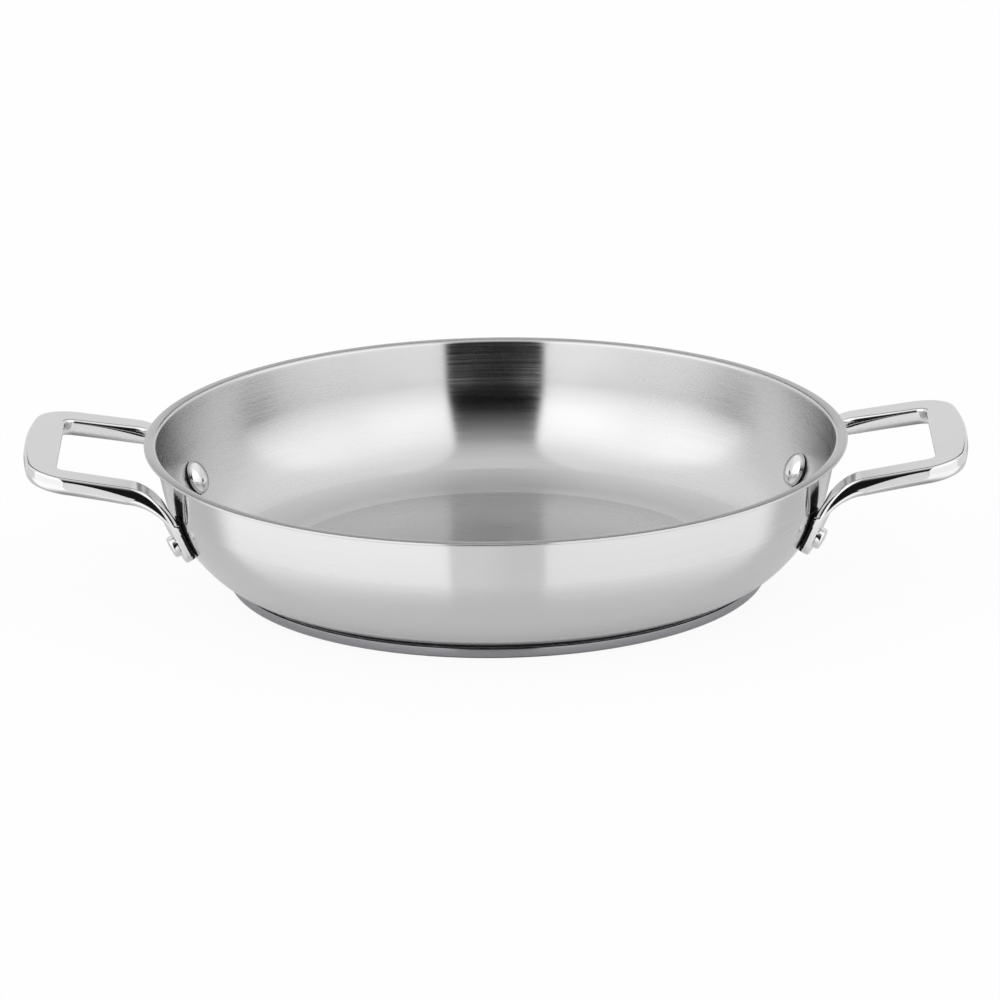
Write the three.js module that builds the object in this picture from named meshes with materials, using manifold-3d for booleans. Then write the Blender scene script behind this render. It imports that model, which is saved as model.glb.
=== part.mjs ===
// Two-handled omelet pan: a drawn steel body, a three-layer base, two loop handles and their rivets.
// Millimetres, +Z up. The origin is the centre of the base's underside, and the handles lie along X.

import * as THREE from 'three';
import { mergeVertices } from 'three/addons/utils/BufferGeometryUtils.js';
import Module from 'manifold-3d';

const wasm = await Module();
wasm.setup();

// Pan body
const rimRadius = 140;
const panHeight = 57;
const wallThickness = 1;
const flangeWidth = 3.6;
const flangeEdgeRadius = 0.35;
const rimFillet = 1.3;
const wallDepth = 17;
const wallFlare = THREE.MathUtils.degToRad(10.3);
const heelTilt = THREE.MathUtils.degToRad(50);
const heelRise = 5.4;

// Base
const capThickness = 0.8;
const capHeight = 4.1;
const capEdgeRadius = 1.4;
const capLipRadius = 0.35;
const coreThickness = 3.1;
const coreChamfer = 0.5;
const baseOverhang = 6.5;

// Handles, each one symmetric about the XZ plane
const gripReach = 47.8;
const gripDrop = 9;
const gripTilt = THREE.MathUtils.degToRad(8.8);
const gripThickness = 7.3;
const barWidth = 14;
const barBowRadius = 200;
const legWidth = 12.6;
const legTaper = THREE.MathUtils.degToRad(3);
const legRootClearance = 4;
const outerCornerRadius = 17.5;
const innerCornerRadius = 4;
const barUpperEdge = 1.2;
const barUpperRun = 1;
const barLowerEdge = 4.2;
const barLowerRun = 3.6;
const legUpperEdge = 3.3;
const legUpperRun = 2.4;
const legLowerEdge = 3.6;
const legLowerRun = 2.8;
const bendEase = 0.35;
const footThickness = 3.5;
const footEdge = 0.9;
const footAboveRivet = 9;
const footBelowRivet = 7.8;
const footCornerRadius = 4.5;
const footSeatDepth = 1.6;

// Rivets
const rivetSpread = 40;
const rivetDrop = 29;
const shankRadius = 3;
const innerHeadRadius = 7;
const innerHeadRise = 3.6;
const innerHeadEdge = 0.9;
const outerHeadRadius = 4.4;
const outerHeadHeight = 2.3;
const outerHeadRound = 0.9;

// Fits and smoothness
const seatGap = 0.3;
const panSegments = 72;
const rivetSegments = 16;
const sideSteps = 8;
const heelSteps = 3;
const domeSteps = 4;
const filletSteps = 3;
const edgeSteps = 3;
const barSteps = 3;
const cornerSteps = 7;
const bendSteps = 9;

// Sizes that follow from the ones above
const coreBottom = capThickness + seatGap;
const bodyBottom = coreBottom + coreThickness + seatGap;
const wallFootHeight = panHeight - wallDepth;
const sideRadius = (wallFootHeight - bodyBottom - heelRise) / (Math.sin(heelTilt) - Math.sin(wallFlare));
const heelRadius = heelRise / (1 - Math.sin(heelTilt));
const sideMiddle = wallRadiusAt(wallFootHeight) - sideRadius * Math.cos(wallFlare);
const sideHeight = wallFootHeight + sideRadius * Math.sin(wallFlare);
const floorRadius = sideMiddle + (sideRadius - heelRadius) * Math.cos(heelTilt);
const baseRadius = floorRadius + baseOverhang;
const rivetHeight = panHeight - rivetDrop;

const quarter = Math.PI / 2;

const bowlSteel = new THREE.MeshStandardMaterial({ color: 0xc4c6c8, roughness: 0.3, metalness: 1 });
const baseSteel = new THREE.MeshStandardMaterial({ color: 0xa9a9b0, roughness: 0.35, metalness: 1 });
const coreAluminium = new THREE.MeshStandardMaterial({ color: 0xb9bcc0, roughness: 0.55, metalness: 1 });
const handleSteel = new THREE.MeshStandardMaterial({ color: 0xd6d7d9, roughness: 0.08, metalness: 1 });
const rivetSteel = new THREE.MeshStandardMaterial({ color: 0xdadbdd, roughness: 0.1, metalness: 1 });

// Outer face of the straight flared wall at a height
function wallRadiusAt(height) {
  return rimRadius - flangeWidth - (panHeight - height) * Math.tan(wallFlare);
}

// Points of an arc, from one angle to another, about a centre in the profile plane
function arc(centreX, centreY, radiusX, radiusY, from, to, steps) {
  return new THREE.EllipseCurve(centreX, centreY, radiusX, radiusY, from, to, to < from).getPoints(steps);
}

function at(x, y) {
  return new THREE.Vector2(x, y);
}

// A closed mesh with its shared corners merged and its collapsed triangles left out
function welded(geometry) {
  geometry.deleteAttribute('normal');
  geometry.deleteAttribute('uv');
  const merged = mergeVertices(geometry);
  const corners = merged.index.array;
  const kept = [];
  for (let i = 0; i < corners.length; i += 3) {
    const [a, b, c] = corners.slice(i, i + 3);
    if (a !== b && b !== c && c !== a) kept.push(a, b, c);
  }
  merged.setIndex(kept);
  return merged;
}

function solid(geometry) {
  const mesh = welded(geometry);
  return new wasm.Manifold(new wasm.Mesh({
    numProp: 3,
    vertProperties: new Float32Array(mesh.attributes.position.array),
    triVerts: new Uint32Array(mesh.index.array),
  }));
}

function geometryOf(manifold) {
  const mesh = manifold.getMesh();
  const geometry = new THREE.BufferGeometry();
  geometry.setAttribute('position', new THREE.BufferAttribute(mesh.vertProperties, 3));
  geometry.setIndex(new THREE.BufferAttribute(mesh.triVerts, 1));
  geometry.computeVertexNormals();
  return geometry;
}

// A profile of radius and height, turned about Z
function revolve(profile, segments) {
  return welded(new THREE.LatheGeometry(profile, segments).rotateX(quarter));
}

// The bowl's flat bottom, tight heel and curved side, moved outwards from the body's outer face
function bowlProfile(offset) {
  const heel = heelRadius + offset;
  const side = sideRadius + offset;
  return [
    at(0, bodyBottom - offset),
    ...arc(floorRadius, bodyBottom + heelRadius, heel, heel, -quarter, -heelTilt, heelSteps),
    ...arc(sideMiddle, sideHeight, side, side, -heelTilt, -wallFlare, sideSteps).slice(1),
  ];
}

// Everything inside the bowl's outer face moved outwards, up past the rim, as one solid
function bowlFill(offset) {
  const top = 2 * panHeight;
  const wallTop = wallRadiusAt(top) + offset / Math.cos(wallFlare);
  return solid(revolve([...bowlProfile(offset), at(wallTop, top), at(0, top)], panSegments));
}

function panBodyProfile() {
  const underRadius = rimFillet - wallThickness;
  const filletY = panHeight - rimFillet;
  const filletX = wallRadiusAt(filletY) + underRadius / Math.cos(wallFlare);
  const filletEnd = 2 * quarter - wallFlare;
  const edge = flangeEdgeRadius;
  const underside = panHeight - wallThickness;
  return [
    ...bowlProfile(0),
    ...arc(filletX, filletY, underRadius, underRadius, filletEnd, quarter, filletSteps),
    ...arc(rimRadius - edge, underside + edge, edge, edge, -quarter, 0, edgeSteps),
    ...arc(rimRadius - edge, panHeight - edge, edge, edge, 0, quarter, edgeSteps),
    ...arc(filletX, filletY, rimFillet, rimFillet, quarter, filletEnd, filletSteps),
    ...bowlProfile(-wallThickness).reverse(),
  ];
}

function baseCapProfile() {
  const corner = baseRadius - capEdgeRadius;
  const insideRadius = capEdgeRadius - capThickness;
  const lip = baseRadius - capLipRadius;
  const inside = baseRadius - capThickness;
  return [
    at(0, 0),
    ...arc(corner, capEdgeRadius, capEdgeRadius, capEdgeRadius, -quarter, 0, filletSteps),
    ...arc(lip, capHeight - capLipRadius, capLipRadius, capLipRadius, 0, quarter, edgeSteps),
    at(inside, capHeight),
    ...arc(corner, capEdgeRadius, insideRadius, insideRadius, 0, -quarter, filletSteps),
    at(0, capThickness),
  ];
}

function baseCoreProfile() {
  const radius = baseRadius - capThickness - seatGap;
  const top = coreBottom + coreThickness;
  return [
    at(0, coreBottom),
    at(radius - coreChamfer, coreBottom),
    at(radius, coreBottom + coreChamfer),
    at(radius, top - coreChamfer),
    at(radius - coreChamfer, top),
    at(0, top),
  ];
}

// Where a rivet crosses the body's outer face, in a plane through the pan's axis
const rivetSeat = (() => {
  const slope = Math.asin((sideHeight - rivetHeight) / sideRadius);
  const radius = sideMiddle + sideRadius * Math.cos(slope);
  return { radius, slope, angle: Math.asin(rivetSpread / radius) };
})();

const radial = new THREE.Vector3(Math.cos(rivetSeat.angle), Math.sin(rivetSeat.angle), 0);
const tangent = new THREE.Vector3(-radial.y, radial.x, 0);
const upward = new THREE.Vector3(0, 0, 1);
const wallNormal = radial.clone().multiplyScalar(Math.cos(rivetSeat.slope))
  .addScaledVector(upward, -Math.sin(rivetSeat.slope));
const wallDown = tangent.clone().cross(wallNormal);
const rivetPoint = radial.clone().multiplyScalar(rivetSeat.radius).setZ(rivetHeight);

// The same rivet place on the other leg is a turn about the pan's axis
const otherLeg = -2 * rivetSeat.angle;

// A solid turned about the Y axis, moved so that Y runs along the rivet and its zero is the wall's face
function alongRivet(profile, turn = 0) {
  const lean = new THREE.Quaternion().setFromUnitVectors(new THREE.Vector3(0, 1, 0), wallNormal);
  const geometry = new THREE.LatheGeometry(profile, rivetSegments).applyQuaternion(lean);
  return solid(geometry.translate(rivetPoint.x, rivetPoint.y, rivetPoint.z).rotateZ(turn));
}

function rivetHole(turn) {
  const radius = shankRadius + seatGap;
  const reach = footThickness + footSeatDepth + gripThickness;
  return alongRivet([at(0, -reach), at(radius, -reach), at(radius, reach), at(0, reach)], turn);
}

// The domed head inside the pan, hollowed underneath to follow the wall
function rivetInnerHead() {
  const rim = -wallThickness - seatGap - innerHeadEdge;
  const dome = arc(0, rim, innerHeadRadius, innerHeadRise, -quarter, 0, domeSteps);
  const buried = wallThickness;
  const blank = alongRivet([...dome, at(innerHeadRadius, buried), at(0, buried)]);
  return blank.intersect(bowlFill(-wallThickness - seatGap));
}

function rivetShank() {
  const buried = -wallThickness - innerHeadEdge - innerHeadRise / 2;
  const seat = footThickness + 2 * seatGap;
  const top = seat + outerHeadHeight;
  const round = outerHeadRound;
  return alongRivet([
    at(0, buried),
    at(shankRadius, buried),
    at(shankRadius, seat),
    at(outerHeadRadius, seat),
    ...arc(outerHeadRadius - round, top - round, round, round, 0, quarter, filletSteps),
    at(0, top),
  ]);
}

function rivetGeometry() {
  return geometryOf(rivetShank().add(rivetInnerHead()));
}

// A quarter of an oval, counted anticlockwise from the one that faces right and up
function roundedCorner(x, y, run, rise, turn) {
  return arc(x, y, run, rise, turn * quarter, (turn + 1) * quarter, edgeSteps);
}

// A rounded rectangle seen along the handle: x runs out of the loop, y from the underside to the top
function handleSection({ halfWidth, below, above, edges }) {
  const { upperRun, upperRise, lowerRun, lowerRise } = edges;
  return [
    ...roundedCorner(halfWidth - upperRun, above - upperRise, upperRun, upperRise, 0),
    ...roundedCorner(upperRun - halfWidth, above - upperRise, upperRun, upperRise, 1),
    ...roundedCorner(lowerRun - halfWidth, lowerRise - below, lowerRun, lowerRise, 2),
    ...roundedCorner(halfWidth - lowerRun, lowerRise - below, lowerRun, lowerRise, 3),
  ];
}

// Edge roundings: a flat top along the bar, rounder towards each leg's root, and small on the thin foot
function edgeSizes(upperRun, upperRise, lowerRun, lowerRise) {
  return { upperRun, upperRise, lowerRun, lowerRise };
}

const barEdges = edgeSizes(barUpperRun, barUpperEdge, barLowerRun, barLowerEdge);
const legEdges = edgeSizes(legUpperRun, legUpperEdge, legLowerRun, legLowerEdge);
const footEdges = edgeSizes(footEdge, footEdge, footEdge, footEdge);

function mixedEdges(first, second, share) {
  return Object.fromEntries(Object.keys(first).map(
    (key) => [key, THREE.MathUtils.lerp(first[key], second[key], share)],
  ));
}

// The grip lies in one tilted plane, and each of its stations spans from the opening to the outside
const legRootX = rimRadius + legRootClearance;
const legRootHeight = panHeight - gripDrop;
const gripUp = new THREE.Vector3(-Math.sin(gripTilt), 0, Math.cos(gripTilt));

function onGrip(x, y) {
  return new THREE.Vector3(x, y, legRootHeight + (x - legRootX) * Math.tan(gripTilt));
}

function gripStation(inside, outside, edges) {
  const side = outside.clone().sub(inside);
  const half = gripThickness / 2;
  return {
    centre: inside.clone().add(outside).multiplyScalar(0.5),
    side: side.clone().normalize(),
    up: gripUp,
    section: { halfWidth: side.length() / 2, below: half, above: half, edges },
  };
}

// The foot's line runs down the wall, half a foot's thickness outside the seat
const footLine = rivetPoint.clone().addScaledVector(wallNormal, seatGap + footThickness / 2);
const footTop = footLine.clone().addScaledVector(wallDown, -footAboveRivet);
const legRootSpread = footTop.y - (legRootX - footTop.x) * Math.tan(legTaper);
const legOut = new THREE.Vector3(Math.sin(legTaper), Math.cos(legTaper), 0);

// Half of the loop, from the middle of the bowed bar round its corner to the leg's root
function gripStations() {
  const barOutside = rimRadius + gripReach;
  const barInside = barOutside - barWidth;
  const half = legWidth / 2;
  const legLine = (x, offset) => legRootSpread + (offset - (x - legRootX) * legOut.x) / legOut.y;
  const innerX = barInside - innerCornerRadius;
  const innerY = legLine(innerX, -half - innerCornerRadius);
  const bowX = barOutside - barBowRadius;
  const bowRest = barBowRadius - outerCornerRadius;
  const legOffset = half - outerCornerRadius + legRootSpread * legOut.y - (bowX - legRootX) * legOut.x;
  const bowTurn = Math.asin(legOffset / bowRest) - legTaper;
  const outerX = bowX + bowRest * Math.cos(bowTurn);
  const outerY = bowRest * Math.sin(bowTurn);
  const onArc = (x, y, radius, turn) => onGrip(x + radius * Math.cos(turn), y + radius * Math.sin(turn));
  const stations = [];
  for (let i = 0; i < barSteps; i += 1) {
    const share = i / barSteps;
    const outside = onArc(bowX, 0, barBowRadius, bowTurn * share);
    stations.push(gripStation(onGrip(barInside, innerY * share), outside, barEdges));
  }
  const cornerEnd = quarter - legTaper;
  for (let i = 0; i <= cornerSteps; i += 1) {
    const share = i / cornerSteps;
    const inside = onArc(innerX, innerY, innerCornerRadius, cornerEnd * share);
    const outside = onArc(outerX, outerY, outerCornerRadius, THREE.MathUtils.lerp(bowTurn, cornerEnd, share));
    stations.push(gripStation(inside, outside, barEdges));
  }
  stations.push(gripStation(
    onGrip(legRootX - half * legOut.x, legRootSpread - half * legOut.y),
    onGrip(legRootX + half * legOut.x, legRootSpread + half * legOut.y),
    legEdges,
  ));
  return stations;
}

function footStation(down, halfWidth) {
  return {
    centre: footLine.clone().addScaledVector(wallDown, down),
    side: tangent,
    up: wallNormal.clone().negate(),
    section: {
      halfWidth,
      below: footThickness / 2,
      above: footThickness / 2 + footSeatDepth,
      edges: footEdges,
    },
  };
}

// The leg turns down on to the wall, thins to the foot and twists from the grip's plane to the wall's
function bendStations() {
  const root = onGrip(legRootX, legRootSpread);
  const ease = root.distanceTo(footTop) * bendEase;
  const inward = legOut.clone().cross(gripUp).negate().normalize();
  const path = new THREE.CubicBezierCurve3(
    root,
    root.clone().addScaledVector(inward, ease),
    footTop.clone().addScaledVector(wallDown, -ease),
    footTop,
  );
  const stations = [];
  for (let i = 1; i < bendSteps; i += 1) {
    const share = i / bendSteps;
    const along = path.getTangent(share);
    const side = legOut.clone().lerp(tangent, share);
    side.addScaledVector(along, -side.dot(along)).normalize();
    const half = THREE.MathUtils.lerp(gripThickness, footThickness, share) / 2;
    stations.push({
      centre: path.getPoint(share),
      side,
      up: side.clone().cross(along),
      section: {
        halfWidth: legWidth / 2,
        below: half,
        above: half,
        edges: mixedEdges(legEdges, footEdges, share),
      },
    });
  }
  return stations;
}

function footStations() {
  const half = legWidth / 2;
  const straightEnd = footBelowRivet - footCornerRadius;
  const stations = [footStation(-footAboveRivet, half)];
  for (let i = 0; i <= filletSteps; i += 1) {
    const angle = quarter * (i / filletSteps);
    const down = straightEnd + footCornerRadius * Math.sin(angle);
    stations.push(footStation(down, half - footCornerRadius * (1 - Math.cos(angle))));
  }
  return stations;
}

function mirrored({ centre, side, up, section }) {
  const across = new THREE.Vector3(1, -1, 1);
  return {
    centre: centre.clone().multiply(across),
    side: side.clone().multiply(across),
    up: up.clone().multiply(across),
    section,
  };
}

// A closed skin through the sections of all stations, in order
function loft(stations) {
  const rings = stations.map(({ centre, side, up, section }) => handleSection(section).map(
    (p) => centre.clone().addScaledVector(side, p.x).addScaledVector(up, p.y),
  ));
  const count = rings[0].length;
  const last = (rings.length - 1) * count;
  const points = rings.flat();
  const faces = [];
  for (let ring = 0; ring < last; ring += count) {
    for (let j = 0; j < count; j += 1) {
      const k = (j + 1) % count;
      faces.push(ring + j, ring + k, ring + count + j);
      faces.push(ring + k, ring + count + k, ring + count + j);
    }
  }
  for (let j = 1; j < count - 1; j += 1) {
    faces.push(0, j + 1, j);
    faces.push(last, last + j, last + j + 1);
  }
  const geometry = new THREE.BufferGeometry().setFromPoints(points);
  geometry.setIndex(faces);
  return geometry;
}

function handleGeometry() {
  const half = [...gripStations(), ...bendStations(), ...footStations()];
  const whole = [...half.slice(1).reverse(), half[0], ...half.slice(1).map(mirrored)];
  const seated = solid(loft(whole)).subtract(bowlFill(seatGap));
  return geometryOf(seated.subtract(rivetHole(0)).subtract(rivetHole(otherLeg)));
}

function panBodyGeometry() {
  let body = solid(revolve(panBodyProfile(), panSegments));
  for (const turn of [0, otherLeg, Math.PI, Math.PI + otherLeg]) {
    body = body.subtract(rivetHole(turn));
  }
  return geometryOf(body);
}

function piece(name, geometry, material, turn = 0) {
  const mesh = new THREE.Mesh(geometry, material);
  mesh.name = name;
  mesh.rotation.z = turn;
  return mesh;
}

const pan = new THREE.Group();
pan.add(piece('pan_body', panBodyGeometry(), bowlSteel));
pan.add(piece('base_core', revolve(baseCoreProfile(), panSegments), coreAluminium));
pan.add(piece('base_cap', revolve(baseCapProfile(), panSegments), baseSteel));

// Each side is the same assembly, turned half way round the pan
const handle = handleGeometry();
const rivet = rivetGeometry();
for (const [sideName, sideTurn] of [['right', 0], ['left', Math.PI]]) {
  const side = new THREE.Group();
  side.rotation.z = sideTurn;
  const rearFirst = sideTurn === 0 ? ['rear', 'front'] : ['front', 'rear'];
  side.add(piece(`handle_${sideName}`, handle, handleSteel));
  side.add(piece(`rivet_${sideName}_${rearFirst[0]}`, rivet, rivetSteel));
  side.add(piece(`rivet_${sideName}_${rearFirst[1]}`, rivet, rivetSteel, otherLeg));
  pan.add(side);
}

export default pan;
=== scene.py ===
"""Stainless omelet pan with two riveted loop handles, finished around its packed frame."""
import math
from collections import namedtuple

import bmesh
import bpy
from bpy.props import FloatProperty, FloatVectorProperty, IntProperty, PointerProperty
from mathutils import Matrix, Vector


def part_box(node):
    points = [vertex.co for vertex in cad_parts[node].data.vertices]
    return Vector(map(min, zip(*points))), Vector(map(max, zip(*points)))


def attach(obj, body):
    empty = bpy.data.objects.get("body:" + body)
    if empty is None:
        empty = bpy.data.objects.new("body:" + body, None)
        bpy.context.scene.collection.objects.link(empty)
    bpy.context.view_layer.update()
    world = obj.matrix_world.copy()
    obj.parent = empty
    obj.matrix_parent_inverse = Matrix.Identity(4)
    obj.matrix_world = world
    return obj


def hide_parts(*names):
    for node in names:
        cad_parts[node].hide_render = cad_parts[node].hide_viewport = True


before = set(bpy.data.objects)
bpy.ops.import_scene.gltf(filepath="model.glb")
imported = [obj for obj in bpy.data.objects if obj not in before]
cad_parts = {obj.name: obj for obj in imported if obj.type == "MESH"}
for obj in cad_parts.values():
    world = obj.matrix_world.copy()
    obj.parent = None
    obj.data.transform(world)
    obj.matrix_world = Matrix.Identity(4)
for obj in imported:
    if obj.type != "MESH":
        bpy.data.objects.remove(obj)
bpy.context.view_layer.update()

bl_info = {
    "name": "Two-Handled Omelet Pan",
    "version": (1, 0, 0),
    "blender": (4, 5, 0),
    "location": "View3D > Sidebar > Pan",
    "description": "Builds a stainless pan with riveted loop handles around its packed frame",
    "category": "Object",
}

BODY = "root"
MM = 0.001
QUARTER = math.pi / 2

BODY_LOW, BODY_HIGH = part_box("pan_body")
CAP_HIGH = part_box("base_cap")[1]
GRIP_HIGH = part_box("handle_right")[1]


# Sizes and finishes that a user would change


def length(name, description, default):
    return FloatProperty(name=name, description=description, default=default, min=0.0,
                         precision=5, subtype="DISTANCE", unit="LENGTH")


def angle(name, description, degrees):
    return FloatProperty(name=name, description=description, default=math.radians(degrees),
                         subtype="ANGLE", unit="ROTATION")


def level(name, description, default):
    return FloatProperty(name=name, description=description, default=default, min=0.0, subtype="FACTOR")


def count(name, description, default):
    return IntProperty(name=name, description=description, default=default, min=1)


def colour(name, description, default):
    return FloatVectorProperty(name=name, description=description, default=default, size=4,
                               min=0.0, max=1.0, subtype="COLOR")


class BowlSizes(bpy.types.PropertyGroup):
    """Sizes of the drawn bowl and its flat rim"""
    rim_radius: length("Rim Radius", "Outer edge of the flat rim", BODY_HIGH.x)
    height: length("Height", "Top of the rim above the hob", BODY_HIGH.z)
    bottom: length("Bottom", "Underside of the bowl above the hob", BODY_LOW.z)
    wall: length("Wall", "Thickness of the sheet", 1 * MM)
    rim_edge: length("Rim Edge", "Rounding of the rim's outer edge", 0.35 * MM)
    rim_fillet: length("Rim Fillet", "Bend from the inner wall to the rim", 1.3 * MM)
    flange_width: length("Flange Width", "Rim's edge to the wall under it", 3.6 * MM)
    wall_depth: length("Wall Depth", "Depth of the straight wall", 18 * MM)
    flare: angle("Flare", "Lean of the straight wall", 11.5)
    heel_tilt: angle("Heel Tilt", "Slope where the side's curve meets the tighter heel", 50)
    heel_rise: length("Heel Rise", "Height of the heel", 5.4 * MM)
    inner_tilt: angle("Inner Tilt", "Slope where the inside's wider heel begins", 38)
    ring_tilt: angle("Ring Tilt", "Slope where the heel passes into the softer ring round the floor", 64)
    # Painted shade: how far the near-black shade of the groove reaches past the base's edge.
    painted_shade_reach: length("Painted Shade Reach", "How far the dull joint shows past the base's edge", 1.3 * MM)
    segments: count("Segments", "Faces round the pan", 256)


class BaseSizes(bpy.types.PropertyGroup):
    """Sizes of the cup under the bowl"""
    radius: length("Radius", "Outer edge of the cup", CAP_HIGH.x)
    height: length("Height", "Top of the cup's edge above the hob", CAP_HIGH.z)
    thickness: length("Thickness", "Thickness of the cup's sheet", 0.8 * MM)
    edge: length("Edge", "Rounding of the cup's lower edge", 1.4 * MM)
    lip: length("Lip", "Rounding of the cup's upper edge", 0.35 * MM)


class HandleSizes(bpy.types.PropertyGroup):
    """Sizes of one loop handle"""
    end: length("End", "Outer side of the bar from the pan's axis", GRIP_HIGH.x)
    drop: length("Drop", "Leg's middle below the rim where it leaves the pan", 9 * MM)
    tilt: angle("Tilt", "Rise of the loop away from the pan", 8.8)
    thickness: length("Thickness", "Thickness of the loop", 7.3 * MM)
    bar_width: length("Bar Width", "Width of the outer bar", 14 * MM)
    bow_radius: length("Bow Radius", "Curve of the bar's outer side", 200 * MM)
    leg_width: length("Leg Width", "Width of each leg", 12.6 * MM)
    taper: angle("Taper", "Turn of each leg towards the other", 3)
    root_clearance: length("Root Clearance", "Start of the straight leg past the rim", 4 * MM)
    outer_corner: length("Outer Corner", "Rounding of the loop's outline", 17.5 * MM)
    inner_corner: length("Inner Corner", "Rounding of the finger gap's corners", 4 * MM)
    bar_upper_run: length("Bar Upper Run", "Rounding of the bar's upper edges, across", 1 * MM)
    bar_upper_rise: length("Bar Upper Rise", "Rounding of the bar's upper edges, in height", 1.2 * MM)
    bar_lower_run: length("Bar Lower Run", "Rounding of the bar's lower edges, across", 3.6 * MM)
    bar_lower_rise: length("Bar Lower Rise", "Rounding of the bar's lower edges, in height", 4.2 * MM)
    leg_upper_run: length("Leg Upper Run", "Rounding of the leg's top edges by the pan, across", 1.3 * MM)
    leg_upper_rise: length("Leg Upper Rise", "Rounding of those top edges, in height", 3.6 * MM)
    leg_lower_run: length("Leg Lower Run", "Rounding of the leg's lower edges by the pan, across", 2.6 * MM)
    leg_lower_rise: length("Leg Lower Rise", "Rounding of those lower edges, in height", 3 * MM)
    bend_ease: level("Bend Ease", "Share of the bend's chord that each end keeps straight", 0.35)
    foot_thickness: length("Foot Thickness", "Thickness of the leg on the wall", 3.5 * MM)
    foot_edge: length("Foot Edge", "Rounding of the foot's outer edges", 0.9 * MM)
    foot_inner_run: length("Foot Inner Run", "Rounding of the foot's edges by the wall, across", 1.8 * MM)
    foot_inner_rise: length("Foot Inner Rise", "Rounding of those edges, in depth", 2.4 * MM)
    foot_above: length("Foot Above Rivet", "Foot's length above its rivet", 9 * MM)
    foot_below: length("Foot Below Rivet", "Foot's length below its rivet", 7.8 * MM)
    foot_corner: length("Foot Corner", "Rounding of the foot's end", 4.5 * MM)
    foot_seat: length("Foot Seat", "Depth that the foot is shaped to the wall", 1.2 * MM)


class RivetSizes(bpy.types.PropertyGroup):
    """Sizes and places of the rivets"""
    spread: length("Spread", "Distance of each rivet from the handle's middle", 40 * MM)
    drop: length("Drop", "Rivet's height below the rim", 29 * MM)
    shank: length("Shank", "Radius of the shank", 3 * MM)
    inner_head: length("Inner Head", "Radius of the domed head in the pan", 7 * MM)
    inner_rise: length("Inner Rise", "Height of the dome", 3.6 * MM)
    inner_edge: length("Inner Edge", "Height of the upright edge under the dome", 0.9 * MM)
    outer_head: length("Outer Head", "Radius of the head on the foot", 4.4 * MM)
    outer_height: length("Outer Height", "Height of the head on the foot", 2.3 * MM)
    outer_round: length("Outer Round", "Rounding of the outer head", 0.9 * MM)
    gap: length("Gap", "Clearance between fitted pieces", 0.3 * MM)


class Finishes(bpy.types.PropertyGroup):
    """Colours of the metals"""
    satin: colour("Satin Steel", "Bowl's brushed steel", (0.66, 0.66, 0.66, 1))
    floor_steel: colour("Floor Steel", "Bowl's matt brushed floor", (0.55, 0.55, 0.55, 1))
    cap: colour("Cap Steel", "Base's brushed steel", (0.38, 0.38, 0.4, 1))
    polish: colour("Polished Steel", "Handles' mirror polish", (0.78, 0.78, 0.78, 1))
    # Painted shade: near-black for the grooves, creases and seams where shadow and dark reflections fall.
    painted_shading: colour("Painted Shade Metal", "Dull metal left in the joints", (0.03, 0.03, 0.033, 1))
    core: colour("Core Aluminium", "Plain rolled aluminium", (0.73, 0.74, 0.76, 1))
    floor: colour("Floor", "Studio floor", (0.9, 0.9, 0.9, 1))


class StageLook(bpy.types.PropertyGroup):
    """Camera and light"""
    distance: length("Camera Distance", "From the rim's centre", 2.8)
    elevation: angle("Camera Elevation", "Above the rim's plane", 17.116)
    roll: angle("Camera Roll", "Lean of the camera", -0.737)
    lens: FloatProperty(name="Lens", description="Focal length", default=253.23, subtype="DISTANCE_CAMERA",
                        unit="CAMERA")
    gap_half: angle("Front Gap", "Half of the dark gap round the camera", 17)
    gap_start: angle("Front Gap Start", "Where the dark gap begins to fade upwards", 24)
    gap_top: angle("Front Gap Top", "Where the dark gap has faded out", 88)
    gap_end: angle("Front Gap End", "Lower end of the dark gap below the horizon", 15)
    seam: angle("Side Seam", "Where the side walls of the light tent end, from the front", 103)
    low_seam: angle("Low Seam", "Where the bright sides of the table end, from the front", 115)
    left_light: level("Left Light", "Brightness of the tent's left wall", 1.5)
    right_light: level("Right Light", "Brightness of the tent's right wall", 1.38)
    roof_light: level("Roof Light", "Brightness of the tent's roof", 1.0)
    back_light: level("Back Light", "Brightness of the tent's back wall", 0.8)
    gap_light: level("Gap Light", "Brightness of the roof over the gap", 0.74)
    slit_light: level("Slit Light", "Brightness of the slit over the backdrop", 0.1)
    low_share: level("Low Share", "Share of the sides' light just over the table", 0.78)
    table_share: level("Table Share", "Share of the sides' light on the table", 0.84)
    front_table: level("Front Table", "Share of that light left by the gap", 0.72)
    deep_light: level("Deep Light", "Share of light left straight below", 0.3)
    dark: level("Dark", "Brightness of the dark gaps", 0.01)


# Node helpers, for geometry and shader trees alike


def plug(tree, socket, value):
    """Links a socket to another, or sets it to a plain value."""
    if isinstance(value, bpy.types.NodeSocket):
        tree.links.new(value, socket)
    else:
        socket.default_value = value


def node(tree, kind, settings=None, inputs=None):
    """Adds a node with its settings, and its inputs plugged by name or number."""
    made = tree.nodes.new(kind)
    for key, value in (settings or {}).items():
        setattr(made, key, value)
    for key, value in (inputs or {}).items():
        plug(tree, made.inputs[key], value)
    return made


def maths(tree, operation, first, second=0.0):
    return node(tree, "ShaderNodeMath", {"operation": operation}, {0: first, 1: second}).outputs[0]


def plus(tree, first, second):
    return maths(tree, "ADD", first, second)


def minus(tree, first, second):
    return maths(tree, "SUBTRACT", first, second)


def times(tree, first, second):
    return maths(tree, "MULTIPLY", first, second)


def divided(tree, first, second):
    return maths(tree, "DIVIDE", first, second)


def negative(tree, value):
    return times(tree, value, -1.0)


def absolute(tree, value):
    return maths(tree, "ABSOLUTE", value)


def diagonal(tree, first, second):
    """Length of a line from its two upright parts."""
    return maths(tree, "SQRT", plus(tree, times(tree, first, first), times(tree, second, second)))


def parts(tree, place):
    return node(tree, "ShaderNodeSeparateXYZ", None, {0: place}).outputs


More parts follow.
